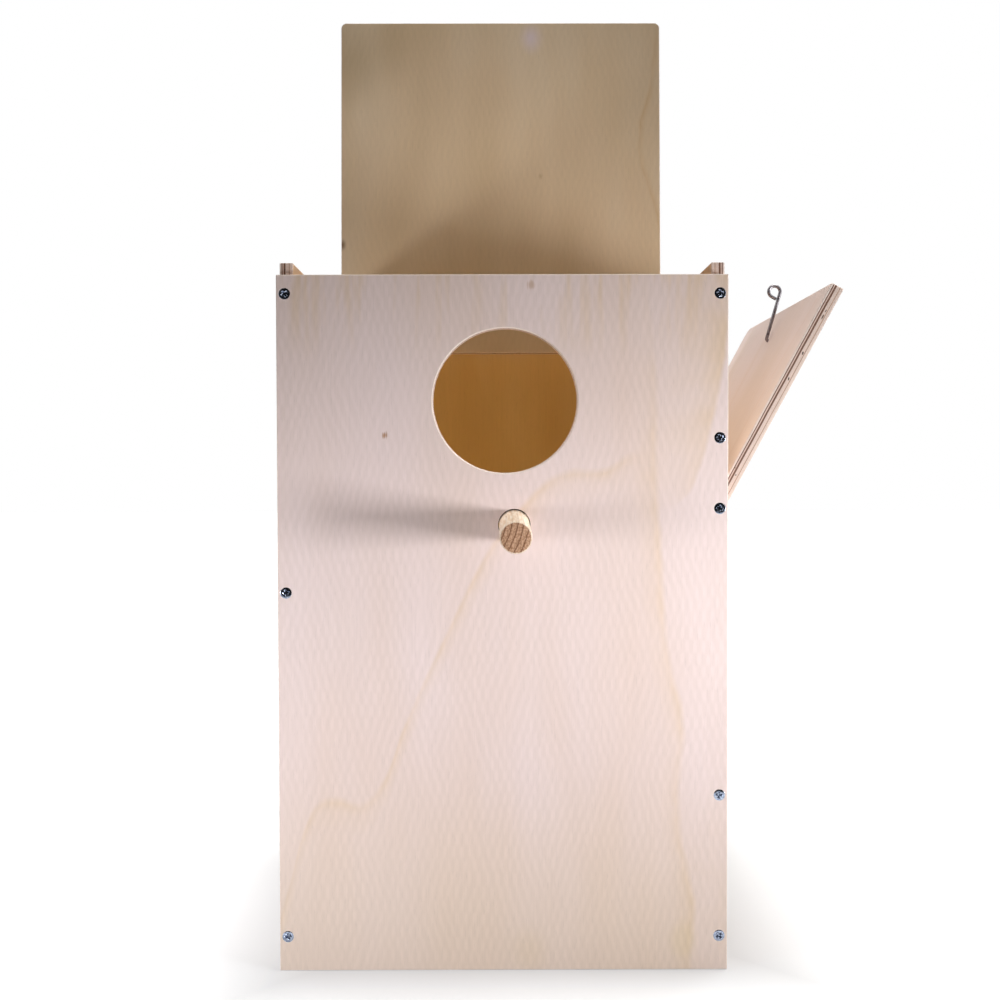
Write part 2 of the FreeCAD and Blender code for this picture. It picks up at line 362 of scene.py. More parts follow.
def addStudio():
    lowered = Matrix.Translation((0, 0, -studio["floorDrop"] * mm))
    stagePlane("floor", studio["floorHalf"], lowered, paperFloor())
    # Matt black card: a dark strip in the metal
    black = newMaterial("blackCard", Roughness=1.0, Base_Color=linearColour(studio["cardColour"]))[0]
    upright = Matrix.Rotation(math.radians(90), 4, "X")
    standing = Matrix.Translation(Vector(studio["cardPlace"]) * mm) @ upright
    card = stagePlane("card", studio["cardHalf"], standing, black)
    for ray in ("camera", "diffuse", "transmission", "volume_scatter", "shadow"):
        setattr(card, "visible_" + ray, False)
    world = bpy.data.worlds.new("studio")
    world.use_nodes = True
    scene.world = world
    tree = world.node_tree
    ambient = [part * studio["ambient"] for part in linearColour(studio["ambientColour"])[:3]] + [1.0]
    light = addNode(tree, "ShaderNodeMix", {
        "Factor": seenDirectly(tree), "A": ambient, "B": grey(1)}, data_type="RGBA")
    setInputs(tree, tree.nodes["Background"], {"Color": light})
    for name, look in studio["lamps"].items():
        lamp = bpy.data.lights.new(name, "AREA")
        lamp.size = look["size"] * mm
        lamp.spread = math.radians(look["spread"])
        lamp.energy = look["watts"]
        lamp.color = linearColour(look["colour"])[:3]
        stand = bpy.data.objects.new(name, lamp)
        scene.collection.objects.link(stand)
        place = Vector(look["place"]) * mm
        stand.location = place
        stand.rotation_euler = (Vector(look["aim"]) * mm - place).to_track_quat("-Z", "Y").to_euler()
        stand.visible_camera = False


addStudio()
print("studio lit,", len(studio["lamps"]), "lamps")


# Plywood boards: across and along the face grain, as the board lies when its joint is shut.
# The shown face is the one that across x along points to.

wall = {"along": (0, 0, 1), "shown": "paleVeneer", "hidden": "goldenVeneer"}
boards = {
    "front_panel": {**wall, "across": (1, 0, 0), "shown": "frontVeneer"},
    "back_panel": {**wall, "across": (-1, 0, 0)},
    "left_side_panel": {**wall, "across": (0, -1, 0)},
    "right_upper_panel": {**wall, "across": (0, 1, 0)},
    "right_lower_panel": {**wall, "across": (0, 1, 0)},
    "floor_panel": {
        "across": (1, 0, 0), "along": (0, 1, 0), "shown": "goldenVeneer", "hidden": "paleVeneer"},
    "lid": {
        "across": (1, 0, 0), "along": (0, -1, 0), "shown": "lidVeneer", "hidden": "paleVeneer",
        "joint": "lid_hinge"},
    "side_door": {
        "across": (0, -1, 0), "along": (0, 0, -1), "shown": "doorVeneer", "hidden": "paleVeneer",
        "joint": "door_hinge"},
}

boardEdges = {
    "easing": 0.4,
    "easingSteps": 2,
    "sharpAngle": 50,
    "leastOutline": 150,  # a shorter run of sharp edges is a small hole
    "flatAngle": 0.5,
    "shadeAngle": 14,
    "faceShare": 0.95,  # how far a face looks along the thickness to count as veneer
}


def boardFrame(name):
    # the turn and shift that take a point of the frame to across, along and through the board,
    # and the board's thickness
    lie = boards[name]
    across, along = Vector(lie["across"]), Vector(lie["along"])
    origin = Vector()
    if "joint" in lie:
        joint = joints[lie["joint"]]
        opened = Matrix.Rotation(-math.radians(joint["range_deg"][1]), 3, Vector(joint["axis"]))
        across, along = opened @ across, opened @ along
        origin = Vector(joint["pos_m"])
    through = across.cross(along)
    depths = [through.dot(v.co) for v in nodes[name].data.vertices]
    turn = Matrix((across, along, through))
    shift = turn @ origin
    shift.z = (min(depths) + max(depths)) / 2
    return turn, shift, max(depths) - min(depths)


def boardPlace(tree, name):
    # across, along and through in millimetres, from the object coordinates
    turn, shift = boardFrame(name)[:2]
    return placeInMillimetres(tree, Rotation=turn.to_euler(), Location=-shift / mm)


# Veneers: tones run from warm to pale. ripple, rings and stain are how strongly the knife's ripple,
# the growth rings and the streaks from the top edge show. endTone is a colour, its strength, and
# where along the board it begins and is full. A mark is its place across and along, its radius,
# its colour and its strength.
veneers = {
    # outer faces: peeled poplar, pinkish cream, with a fine crossed ripple and faint growth lines
    "frontVeneer": {
        "tones": ("#E6D1C9", "#E9D6D2", "#ECDAD9"), "lineColour": "#DDBF92", "ripple": 0.045,
        "stain": 0.8, "seed": 3.1, "endTone": ("#E7D2B8", 0.5, 100, 0),
        "marks": (((-52.1, 239.1), 1.2, "#A9794E", 0.9), ((12.6, 305.3), 1.6, "#B98F68", 0.5),
                  ((80.0, 13.0), 6.0, "#E2CDAA", 0.38), ((11.0, 8.0), 9.0, "#DFC8A4", 0.25)),
    },
    "paleVeneer": {
        "tones": ("#E0CABB", "#E7D3C9", "#EAD8D1"), "lineColour": "#D8B98F", "ripple": 0.045,
        "rings": 0.25, "seed": 11.7, "marks": (((31.0, 121.0), 1.2, "#A9794E", 0.6),),
    },
    # inner faces: heartwood sheets, more golden; greyer and darker along their tops, which is painted
    # shade
    "goldenVeneer": {
        "tones": ("#DDB772", "#E3C07C", "#E8CA8A"), "lineColour": "#CDA35F", "ripple": 0.0,
        "rings": 0.08, "seed": 23.9, "endTone": ("#CFB09A", 0.8, 288, 314),
    },
    # the lid's upper face: yellower, with a dark knot at its edge and a wide dull patch of painted shade
    # near its left edge, far from the hinge
    "lidVeneer": {
        "tones": ("#D1B896", "#DBC3A3", "#E1CDB2"), "lineColour": "#C79B55", "ripple": 0.025,
        "seed": 31.3,
        "marks": (((-91.5, 40.0), 3.0, "#5E3A1E", 0.85), ((23.0, 79.5), 1.4, "#A98A60", 0.4),
                  ((17.5, 160.0), 9.0, "#E4D5E2", 0.75), ((-86.0, 148.0), 26.0, "#B39C78", 0.6)),
    },
    # the door's outer face: pale, and yellower towards its hinge as painted warm bounce light from the
    # wall beside it
    "doorVeneer": {
        "tones": ("#E1D0C9", "#E5D5D1", "#E8D9D7"), "lineColour": "#CDA374", "ripple": 0.02,
        "rings": 0.1, "seed": 41.9, "endTone": ("#EAD5AE", 0.42, 112, 25),
    },
}

# Growth lines drawn through points of run and side, the run going across or along the board.
# Measured from the line, its tan grows from far to peak and is gone at sharp. share is its strength,
# beyond is how much of the palest tone lies past it, and both fade from the first of ends to the second.
handLines = {
    "frontVeneer": (
        {"run": "across", "runRange": (-100, 100), "sideRange": (0, 310),
         "far": -14.0, "peak": -1.5, "sharp": 1.8, "share": 0.36, "ends": (47, 65), "beyond": 0.0,
         "points": ((-100, 22), (-95, 40), (-89, 62), (-82, 75), (-74, 76.5), (-62, 75), (-55, 82),
                    (-43, 112), (-24, 153), (-6, 188), (10, 209), (24, 221), (47, 224), (57, 230),
                    (83, 230), (100, 229))},
        {"run": "along", "runRange": (0, 310), "sideRange": (50, 110),
         "far": -10.0, "peak": -1.2, "sharp": 1.4, "share": 0.34, "ends": (215, 330), "beyond": 0.9,
         "points": ((0, 83), (12, 83.5), (26, 85.3), (37, 83.5), (75, 78), (108, 80), (142, 73.5),
                    (184, 70.2), (232, 68), (261, 68), (303, 64.6), (310, 64))},
        {"run": "along", "runRange": (190, 310), "sideRange": (50, 110),
         "far": -30.0, "peak": -0.8, "sharp": 1.2, "share": 0.55, "ends": (225, 206), "beyond": 1.0,
         "points": ((190, 69), (200, 71), (207, 76), (215, 83.5), (230, 89), (248, 93.5), (266, 97),
                    (283, 99), (310, 101))},
    ),
    "lidVeneer": (
        {"run": "along", "runRange": (-20, 170), "sideRange": (60, 110),
         "far": -2.0, "peak": -0.4, "sharp": 2.5, "share": 0.34, "ends": (150, 170), "beyond": 0.0,
         "points": ((-20, 96), (30, 93.5), (50, 91.5), (59, 89.7), (75, 85), (93, 80.5), (110, 81),
                    (128, 86), (145, 88.5), (170, 91))},
    ),
}
lineMarks = {
    "unevenness": 2.2,
    "length": 9.0,
    "gapLength": 26.0,
    "gapNoise": (0.4, 0.6),
    "gapShare": (0.5, 1.0),
    "foot": (0.7, 0.45),  # how far from far to peak, and how much of the tan shows there
}

# Noises in the veneer: sizes across, along and through the board, detail, roughness and shift of the seed
veneerNoises = {
    "tone": ((45, 170, 45), 2.0, 0.5, 0),
    "fibre": ((0.9, 30, 6), 3.0, 0.6, 0),
    "fleck": ((0.4, 4, 6), 1.0, 0.5, 0),
    "leftBend": ((24, 40, 30), 2.0, 0.5, -1),
    "rightBend": ((24, 40, 30), 2.0, 0.5, 1),
    "leftPatch": ((20, 28, 30), 1.0, 0.5, -5),
    "rightPatch": ((20, 28, 30), 1.0, 0.5, 5),
}
woodShade = {
    "roughness": 0.62,
    "toneStops": (0.3, 0.5, 0.7),
    "base": 0.93,
    "fibre": 0.11,
    "fibreRelief": 0.016,
    "fleck": 0.07,
    "fleckNoise": (0.6, 0.78),
    "endWander": 30.0,
}
rippleMarks = {
    "spacing": 3.66,
    "lean": 18.3,  # degrees, the two sets lean either way
    "wander": 7.0,  # radians of the wave
    "patchNoise": (0.35, 0.65),
    "patchGain": (0.2, 1.0),
    "range": (-0.9, 1.5),  # of both waves together
    "relief": 0.12,  # for a ripple of 1, as is the lift
    "lift": 0.65,
    "tint": (1.0, 1.08, 1.3),  # how red, green and blue share in the darkening
}
ringMarks = {
    "spacing": 62,
    "wander": 110,
    "sizes": (75, 240, 60),
    "stops": ((0.0, 1.0), (0.05, 0.4), (0.2, 0.0), (0.97, 0.0), (1.0, 1.0)),
}
# a mark's unevenness and the inner and outer end of its edge are shares of its radius
spotMarks = {"squash": 0.75, "unevenness": 2.0, "edge": (1.2, 2.3), "small": 3}
stainStreaks = {"sizes": (6, 60, 6), "reach": (272, 310), "noise": (0.5, 0.75)}


def growthLine(tree, place, line):
    # how much of the line's tan shows, and how much paler the wood is beyond it
    parts = addNode(tree, "ShaderNodeSeparateXYZ", {0: place})
    run, side = parts.outputs["X"], parts.outputs["Y"]
    if line["run"] == "along":
        run, side = side, run
    (start, end), (low, high) = line["runRange"], line["sideRange"]
    share = addNode(tree, "ShaderNodeMapRange", {"Value": run, "From Min": start, "From Max": end})
    curve = addNode(tree, "ShaderNodeFloatCurve", {"Value": share}, points=[
        ((a - start) / (end - start), (b - low) / (high - low)) for a, b in line["points"]])
    drawn = addNode(tree, "ShaderNodeMapRange", {"Value": curve, "To Min": low, "To Max": high})
    # the line steps a little from side to side and is broken here and there
    jag = addNode(tree, "ShaderNodeTexNoise", {
        "Scale": 1 / lineMarks["length"], "Detail": 3.0, "Vector": place})
    drawn = addNode(tree, "ShaderNodeMath", {
        0: jag, 1: lineMarks["unevenness"], 2: drawn}, operation="MULTIPLY_ADD")
    drawn = addNode(tree, "ShaderNodeMath", {
        0: drawn, 1: lineMarks["unevenness"] / 2}, operation="SUBTRACT")
    past = addNode(tree, "ShaderNodeMath", {0: side, 1: drawn}, operation="SUBTRACT")
    across = addNode(tree, "ShaderNodeMapRange", {
        "Value": past, "From Min": line["far"], "From Max": line["sharp"]})
    top = (line["peak"] - line["far"]) / (line["sharp"] - line["far"])
    footPlace, footLevel = lineMarks["foot"]
    tan = addNode(tree, "ShaderNodeValToRGB", {"Fac": across}, stops=(
        (0.0, 0.0), (top * footPlace, footLevel), (top, 1.0), (1.0, 0.0)))
    full, gone = line["ends"]
    kept = addNode(tree, "ShaderNodeMapRange", {
        "Value": run, "From Min": gone, "From Max": full, "To Max": line["share"]})
    (thin, thick), (least, most) = lineMarks["gapNoise"], lineMarks["gapShare"]
    broken = addNode(tree, "ShaderNodeTexNoise", {"Scale": 1 / lineMarks["gapLength"], "Vector": place})
    broken = addNode(tree, "ShaderNodeMapRange", {
        "Value": broken, "From Min": thin, "From Max": thick, "To Min": least, "To Max": most})
    kept = addNode(tree, "ShaderNodeMath", {0: kept, 1: broken}, operation="MULTIPLY")
    tan = addNode(tree, "ShaderNodeMath", {0: tan, 1: kept}, operation="MULTIPLY")
    beyond = addNode(tree, "ShaderNodeMapRange", {
        "Value": past, "From Min": line["peak"], "From Max": line["sharp"], "To Max": line["beyond"]})
    beyond = addNode(tree, "ShaderNodeMath", {0: beyond, 1: kept}, operation="MULTIPLY")
    return tan, beyond


def veneer(name, look):
    # Bare sanded poplar plywood: matt, silky along the grain, with the ripple of the peeling knife
    kind = veneers[look]
    material, tree, shader = newMaterial(name + "_" + look, Roughness=woodShade["roughness"], IOR=1.5)
    place = boardPlace(tree, name)
    noises = {}
    for part, (sizes, detail, roughness, shift) in veneerNoises.items():
        noises[part] = addNode(tree, "ShaderNodeTexNoise", {
            "Scale": 1.0, "Detail": detail, "Roughness": roughness, "Vector": addNode(
                tree, "ShaderNodeMapping", {
                    "Vector": place, "Scale": perSize(sizes), "Location": (kind["seed"] + shift,) * 3})})
    slow, fibre, fleck = noises["tone"], noises["fibre"], noises["fleck"]
    # slow change of tone over the sheet, longer along the grain
    colour = addNode(tree, "ShaderNodeValToRGB", {"Fac": slow}, stops=zip(
        woodShade["toneStops"], kind["tones"]))
    # two sets of ripples leaning either way, each stronger in some patches than in others
    ripple = 0.0
    (thin, thick), (least, most) = rippleMarks["patchNoise"], rippleMarks["patchGain"]
    for side, lean in (("left", -1), ("right", 1)):
        angle = math.radians(rippleMarks["lean"] * lean)
        step = 2 * math.pi / rippleMarks["spacing"]
        way = (step * math.cos(angle), step * math.sin(angle), 0)
        phase = addNode(tree, "ShaderNodeVectorMath", {0: place, 1: way}, operation="DOT_PRODUCT")
        bent = addNode(tree, "ShaderNodeMath", {
            0: noises[side + "Bend"], 1: rippleMarks["wander"], 2: phase.outputs["Value"]},
            operation="MULTIPLY_ADD")
        wave = addNode(tree, "ShaderNodeMath", {0: bent}, operation="SINE")
        gain = addNode(tree, "ShaderNodeMapRange", {
            "Value": noises[side + "Patch"], "From Min": thin, "From Max": thick,
            "To Min": least, "To Max": most})
        ripple = addNode(tree, "ShaderNodeMath", {0: wave, 1: gain, 2: ripple}, operation="MULTIPLY_ADD")
    lowest, highest = rippleMarks["range"]
    ripple = addNode(tree, "ShaderNodeMapRange", {
        "Value": ripple, "From Min": lowest, "From Max": highest}, interpolation_type="SMOOTHSTEP")
    layers = []  # how much of a colour lies over what came before it
    # another tone that shows more and more towards one end of the board; on the door it is painted bounce
    # light, on the inner faces painted shade along their tops
    if "endTone" in kind:
        shade, strength, begins, full = kind["endTone"]
        wander = woodShade["endWander"]
        along = addNode(tree, "ShaderNodeSeparateXYZ", {0: place}).outputs["Y"]
        near = addNode(tree, "ShaderNodeMath", {0: slow, 1: wander, 2: along}, operation="MULTIPLY_ADD")
        part = addNode(tree, "ShaderNodeMapRange", {
            "Value": near, "From Min": begins + wander / 2, "From Max": full + wander / 2,
            "To Max": strength}, interpolation_type="SMOOTHSTEP")
        layers.append((part, shade))
    # growth rings cut into long wavering lines
    seed = (kind["seed"],) * 3
    if "rings" in kind:
        wander = addNode(tree, "ShaderNodeTexNoise", {"Scale": 1.0, "Detail": 1.5, "Vector": addNode(
            tree, "ShaderNodeMapping", {
                "Vector": place, "Scale": perSize(ringMarks["sizes"]), "Location": seed})})
        across = addNode(tree, "ShaderNodeSeparateXYZ", {0: place}).outputs["X"]
        field = addNode(tree, "ShaderNodeMath", {
            0: wander, 1: ringMarks["wander"], 2: across}, operation="MULTIPLY_ADD")
        turns = addNode(tree, "ShaderNodeMath", {0: field, 1: ringMarks["spacing"]}, operation="DIVIDE")
        share = addNode(tree, "ShaderNodeMath", {0: turns}, operation="FRACT")
        ring = addNode(tree, "ShaderNodeValToRGB", {"Fac": share}, stops=ringMarks["stops"])
        part = addNode(tree, "ShaderNodeMath", {0: ring, 1: kind["rings"]}, operation="MULTIPLY")
        layers.append((part, kind["lineColour"]))
    for line in handLines.get(look, ()):
        tan, beyond = growthLine(tree, place, line)
        layers += [(beyond, kind["tones"][-1]), (tan, kind["lineColour"])]
    # pin knots, stains and patches of tone, and the lid's patch of painted shade, each with an uneven
    # edge
    squash, (inner, outer) = spotMarks["squash"], spotMarks["edge"]
    for (across, along), radius, shade, strength in kind.get("marks", ()):
        flat = addNode(tree, "ShaderNodeVectorMath", {0: place, 1: (1, squash, 0)}, operation="MULTIPLY")
        gap = addNode(tree, "ShaderNodeVectorMath", {
            0: flat, 1: (across, along * squash, 0)}, operation="DISTANCE")
        uneven = addNode(tree, "ShaderNodeMath", {
            0: fleck if radius < spotMarks["small"] else slow, 1: radius * spotMarks["unevenness"],
            2: gap.outputs["Value"]}, operation="MULTIPLY_ADD")
        spot = addNode(tree, "ShaderNodeMapRange", {
            "Value": uneven, "From Min": radius * inner, "From Max": radius * outer,
            "To Min": strength, "To Max": 0.0}, interpolation_type="SMOOTHSTEP")
        layers.append((spot, shade))
    # brown streaks drawn down from the sawn top edge
    if "stain" in kind:
        along = addNode(tree, "ShaderNodeSeparateXYZ", {0: place}).outputs["Y"]
        streak = addNode(tree, "ShaderNodeTexNoise", {"Scale": 1.0, "Detail": 3.0, "Vector": addNode(
            tree, "ShaderNodeMapping", {
                "Vector": place, "Scale": perSize(stainStreaks["sizes"]), "Location": seed})})
        (bottom, top), (thin, thick) = stainStreaks["reach"], stainStreaks["noise"]
        high = addNode(tree, "ShaderNodeMapRange", {
            "Value": along, "From Min": bottom, "From Max": top, "To Max": kind["stain"]})
        drawn = addNode(tree, "ShaderNodeMapRange", {
            "Value": streak, "From Min": thin, "From Max": thick})
        part = addNode(tree, "ShaderNodeMath", {0: drawn, 1: high}, operation="MULTIPLY")
        layers.append((part, kind["lineColour"]))
    for part, shade in layers:
        colour = addNode(tree, "ShaderNodeMix", {
            "Factor": part, "A": colour, "B": linearColour(shade)}, data_type="RGBA")
    # the ripple is a little tanner where it is low, the flecks are a little darker
    low = [1 - kind["ripple"] * part for part in rippleMarks["tint"]]
    lower = addNode(tree, "ShaderNodeVectorMath", {0: colour, 1: low}, operation="MULTIPLY")
    colour = addNode(tree, "ShaderNodeMix", {
        "Factor": ripple, "A": lower, "B": colour}, data_type="RGBA")
    base = woodShade["base"] + rippleMarks["lift"] * kind["ripple"]
    fine = addNode(tree, "ShaderNodeMath", {
        0: fibre, 1: woodShade["fibre"], 2: base}, operation="MULTIPLY_ADD")
    few, many = woodShade["fleckNoise"]
    dark = addNode(tree, "ShaderNodeMapRange", {
        "Value": fleck, "From Min": few, "From Max": many, "To Min": 0.0, "To Max": -woodShade["fleck"]})
    fine = addNode(tree, "ShaderNodeMath", {0: fine, 1: dark}, operation="ADD")
    shaded = addNode(tree, "ShaderNodeVectorMath", {0: colour, "Scale": fine}, operation="SCALE")
    # relief in millimetres
    height = rippleMarks["relief"] * kind["ripple"]
    relief = addNode(tree, "ShaderNodeMath", {0: ripple, 1: height}, operation="MULTIPLY")
    relief = addNode(tree, "ShaderNodeMath", {
        0: fibre, 1: woodShade["fibreRelief"], 2: relief}, operation="MULTIPLY_ADD")
    bump = addNode(tree, "ShaderNodeBump", {"Height": relief, "Distance": mm, "Strength": 1.0})
    setInputs(tree, shader, {"Base Color": shaded, "Normal": bump})
    return material


# The sheets that the board is glued from, from the hidden face to the shown one
plyStack = (
    (1.5, "#EBD6CB"), (0.35, "#BC967D"), (1.5, "#E8D2C7"), (0.8, "#74503F"),
    (0.5, "#E3C9BC"), (0.5, "#7A5547"), (0.85, "#F5E6DE"),
)
# gaps in the inner sheets, drawn as dark spots of painted shade
plyVoids = {"size": 2.6, "from": 0.77, "to": 0.79, "colour": "#4B352B", "sheets": (0.3, 0.4, 0.8, 0.86)}
plyGrain = {
    "waver": 0.25,
    "waverLength": 14,
    "softness": 0.06,  # of the change from sheet to sheet
    "width": 0.35,
    "length": 9,
    "noise": (0.12, 0.4),
    "shade": (0.84, 1.06),
    "relief": 0.15,
}


def plyEdge(name):
    # Sawn plywood edge: pale long-grain sheets between brown end-grain ones and dark glue lines
    material, tree, shader = newMaterial(name + "_plyEdge", Roughness=0.75, IOR=1.5)
    place = boardPlace(tree, name)
    half = boardFrame(name)[2] / mm / 2
    waver = addNode(tree, "ShaderNodeTexNoise", {
        "Scale": 1 / plyGrain["waverLength"], "Detail": 1.0, "Vector": place})
    parts = addNode(tree, "ShaderNodeSeparateXYZ", {0: place})
    depth = addNode(tree, "ShaderNodeMath", {
        0: waver, 1: plyGrain["waver"], 2: parts.outputs["Z"]}, operation="MULTIPLY_ADD")
    middle = plyGrain["waver"] / 2
    share = addNode(tree, "ShaderNodeMapRange", {
        "Value": depth, "From Min": middle - half, "From Max": middle + half})
    total = sum(sheet for sheet, colour in plyStack)
    stops = []
    reached = 0.0
    soft = plyGrain["softness"]
    for sheet, colour in plyStack:
        stops.append(((reached + soft) / total, colour))
        reached += sheet
        stops.append(((reached - soft) / total, colour))
    stack = addNode(tree, "ShaderNodeValToRGB", {"Fac": share}, stops=stops)
    # the grain of the sheets that lie along the board and of those that lie across it
    width, length = plyGrain["width"], plyGrain["length"]
    grains = [addNode(tree, "ShaderNodeTexNoise", {"Scale": 1.0, "Vector": addNode(
        tree, "ShaderNodeMapping", {"Vector": place, "Scale": perSize(sizes)})})
        for sizes in ((width, length, width), (length, width, width))]
    grain = addNode(tree, "ShaderNodeMath", {0: grains[0], 1: grains[1]}, operation="MULTIPLY")
    # small gaps left in the inner sheets, painted dark as the shade inside them
    size = plyVoids["size"]
    hollow = addNode(tree, "ShaderNodeTexNoise", {"Scale": 1.0, "Detail": 0.0, "Vector": addNode(
        tree, "ShaderNodeMapping", {"Vector": place, "Scale": perSize((size, size, size / 2))})})
    hollow = addNode(tree, "ShaderNodeMapRange", {
        "Value": hollow, "From Min": plyVoids["from"], "From Max": plyVoids["to"]})
    inner = addNode(tree, "ShaderNodeValToRGB", {"Fac": share}, stops=zip(
        plyVoids["sheets"], (0.0, 1.0, 1.0, 0.0)))
    hollow = addNode(tree, "ShaderNodeMath", {0: hollow, 1: inner}, operation="MULTIPLY")
    stack = addNode(tree, "ShaderNodeMix", {
        "Factor": hollow, "A": stack, "B": linearColour(plyVoids["colour"])}, data_type="RGBA")
    (thin, thick), (dark, bright) = plyGrain["noise"], plyGrain["shade"]
    fine = addNode(tree, "ShaderNodeMapRange", {
        "Value": grain, "From Min": thin, "From Max": thick, "To Min": dark, "To Max": bright})
    shaded = addNode(tree, "ShaderNodeVectorMath", {0: stack, "Scale": fine}, operation="SCALE")
    bump = addNode(tree, "ShaderNodeBump", {
        "Height": grain, "Distance": plyGrain["relief"] * mm, "Strength": 1.0})
    setInputs(tree, shader, {"Base Color": shaded, "Normal": bump})
    return material


# The perch's hole: its rim and wall are painted dark brown, a painted shade for the deep narrow gap round
# the dowel
drilledHole = {
    "node": "front_panel",
    "reach": 9.0,
    "easing": 0.25,
    "tones": ("#26150C", "#54361F"),
    "toneStops": (0.35, 0.7),
    "marksPerMillimetre": 1.4,
}
perchLow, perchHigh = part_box("perch")
perchMiddle = (perchLow + perchHigh) / 2


def paintedShadeHoleWall():
    # Painted shade on the plywood of the perch's hole: dark brown with lighter fibres
    material, tree, shader = newMaterial("paintedShadeHoleWall", Roughness=0.85, IOR=1.5)
    burn = addNode(tree, "ShaderNodeTexNoise", {
        "Scale": drilledHole["marksPerMillimetre"], "Detail": 3.0, "Vector": placeInMillimetres(tree)})
    tone = addNode(tree, "ShaderNodeValToRGB", {"Fac": burn}, stops=zip(
        drilledHole["toneStops"], drilledHole["tones"]))
    setInputs(tree, shader, {"Base Color": tone})
    return material


def inDrilledHole(spot):
    away = spot - perchMiddle
    return math.hypot(away.x, away.z) < drilledHole["reach"] * mm


def boardPiece(name):
    bm = copyOfNode(name)
    flat = math.radians(boardEdges["flatAngle"])
    bmesh.ops.dissolve_limit(bm, angle_limit=flat, verts=bm.verts, edges=bm.edges)
    # ease the outline, which is the long run of sharp edges, and leave the small holes alone
    steep = math.radians(boardEdges["sharpAngle"])
    sharp = {e for e in bm.edges if e.calc_face_angle(0) > steep}
    groups = linkedGroups(
        sharp, lambda e: [other for v in e.verts for other in v.link_edges if other in sharp])
    least = boardEdges["leastOutline"] * mm
    outline = [e for group in groups if sum(x.calc_length() for x in group) > least for e in group]
    bmesh.ops.bevel(bm, geom=outline, offset=boardEdges["easing"] * mm,
                    segments=boardEdges["easingSteps"], profile=0.5, affect="EDGES", material=-1)
    drilled = name == drilledHole["node"]
    if drilled:
        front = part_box(name)[0].y
        rim = [e for e in bm.edges
               if all(inDrilledHole(v.co) and v.co.y - front < mergeGap for v in e.verts)]
        bmesh.ops.bevel(bm, geom=rim, offset=drilledHole["easing"] * mm, segments=1, profile=0.5,
                        affect="EDGES", material=-1)
    bm.normal_update()
    turn = boardFrame(name)[0]
    # slots: the shown face, the hidden face, the sawn edges and the hole's rim and wall, painted dark as
    # shade
    for face in bm.faces:
        way = (turn @ face.normal).z
        face.material_index = 2
        if abs(way) > boardEdges["faceShare"]:
            face.material_index = 0 if way > 0 else 1
        elif drilled and inDrilledHole(face.calc_center_median()):
            face.material_index = 3
    shadeByAngle(bm, boardEdges["shadeAngle"])
    lie = boards[name]
    materials = [veneer(name, lie["shown"]), veneer(name, lie["hidden"]), plyEdge(name)]
    addPiece(name, bm, materials + [paintedShadeHoleWall()] * drilled)


for boardName in boards:
    boardPiece(boardName)
print("boards made,", len(boards))


# Perch: a softwood dowel, sawn off at both ends

perchDowel = {
    "steps": 72,
    "easing": 0.5,
    "nick": 0.3,  # of the easing
    "endReach": 3.0,
    "raggedness": 0.24,
    "raggedScale": 0.9,
    "raggedRim": (1.5, 1.2),  # inwards and along, in easings
    "shadeAngle": 30,
    "pith": (-33.0, 11.6),
    "pithLean": 0.01,
    "ringSpacing": 2.35,
    "ringBend": 0.8,
    "bendSizes": (3.5, 60, 3.5),
    "ringStops": ((0.0, 0.0), (0.6, 0.1), (0.78, 1.0), (0.95, 0.0)),
    "speckSizes": (0.75, 25, 0.9),
    "speckNoise": (0.34, 0.66),
    "speckRelief": 0.08,
    "sideTones": ("#EACFB2", "#FDEEDF"),
    "sideLate": 0.18,  # how strongly the late wood shows
    "endTones": ("#A87A58", "#DFB596"),
    "endLate": 0.9,
    "lateWood": "#6A3813",
}


def dowelWood(name, tones, lateShare, centre):
    # Spruce dowel: cream early wood with narrow brown late-wood lines, darker where it is sawn across
    material, tree, shader = newMaterial(name, Roughness=0.7, IOR=1.5)
    place = placeInMillimetres(tree, Location=-centre / mm)
    pithX, pithZ = perchDowel["pith"]
    flat = addNode(tree, "ShaderNodeVectorMath", {
        0: place, 1: (1, perchDowel["pithLean"], 1)}, operation="MULTIPLY")
    far = addNode(tree, "ShaderNodeVectorMath", {0: flat, 1: (pithX, 0, pithZ)}, operation="DISTANCE")
    waver = addNode(tree, "ShaderNodeTexNoise", {"Scale": 1.0, "Detail": 3.0, "Vector": addNode(
        tree, "ShaderNodeMapping", {"Vector": place, "Scale": perSize(perchDowel["bendSizes"])})})
    bent = addNode(tree, "ShaderNodeMath", {
        0: waver, 1: perchDowel["ringBend"], 2: far.outputs["Value"]}, operation="MULTIPLY_ADD")
    turns = addNode(tree, "ShaderNodeMath", {0: bent, 1: perchDowel["ringSpacing"]}, operation="DIVIDE")
    share = addNode(tree, "ShaderNodeMath", {0: turns}, operation="FRACT")
    late = addNode(tree, "ShaderNodeValToRGB", {"Fac": share}, stops=perchDowel["ringStops"])
    speck = addNode(tree, "ShaderNodeTexNoise", {"Scale": 1.0, "Detail": 2.0, "Vector": addNode(
        tree, "ShaderNodeMapping", {"Vector": place, "Scale": perSize(perchDowel["speckSizes"])})})
    few, many = perchDowel["speckNoise"]
    mottle = addNode(tree, "ShaderNodeMapRange", {"Value": speck, "From Min": few, "From Max": many})
    dark, pale = (linearColour(tone) for tone in tones)
    wood = addNode(tree, "ShaderNodeMix", {"Factor": mottle, "A": dark, "B": pale}, data_type="RGBA")
    part = addNode(tree, "ShaderNodeMath", {0: late, 1: lateShare}, operation="MULTIPLY")
    wood = addNode(tree, "ShaderNodeMix", {
        "Factor": part, "A": wood, "B": linearColour(perchDowel["lateWood"])}, data_type="RGBA")
    bump = addNode(tree, "ShaderNodeBump", {
        "Height": speck, "Distance": perchDowel["speckRelief"] * mm, "Strength": 1.0})
    setInputs(tree, shader, {"Base Color": wood, "Normal": bump})
    return material


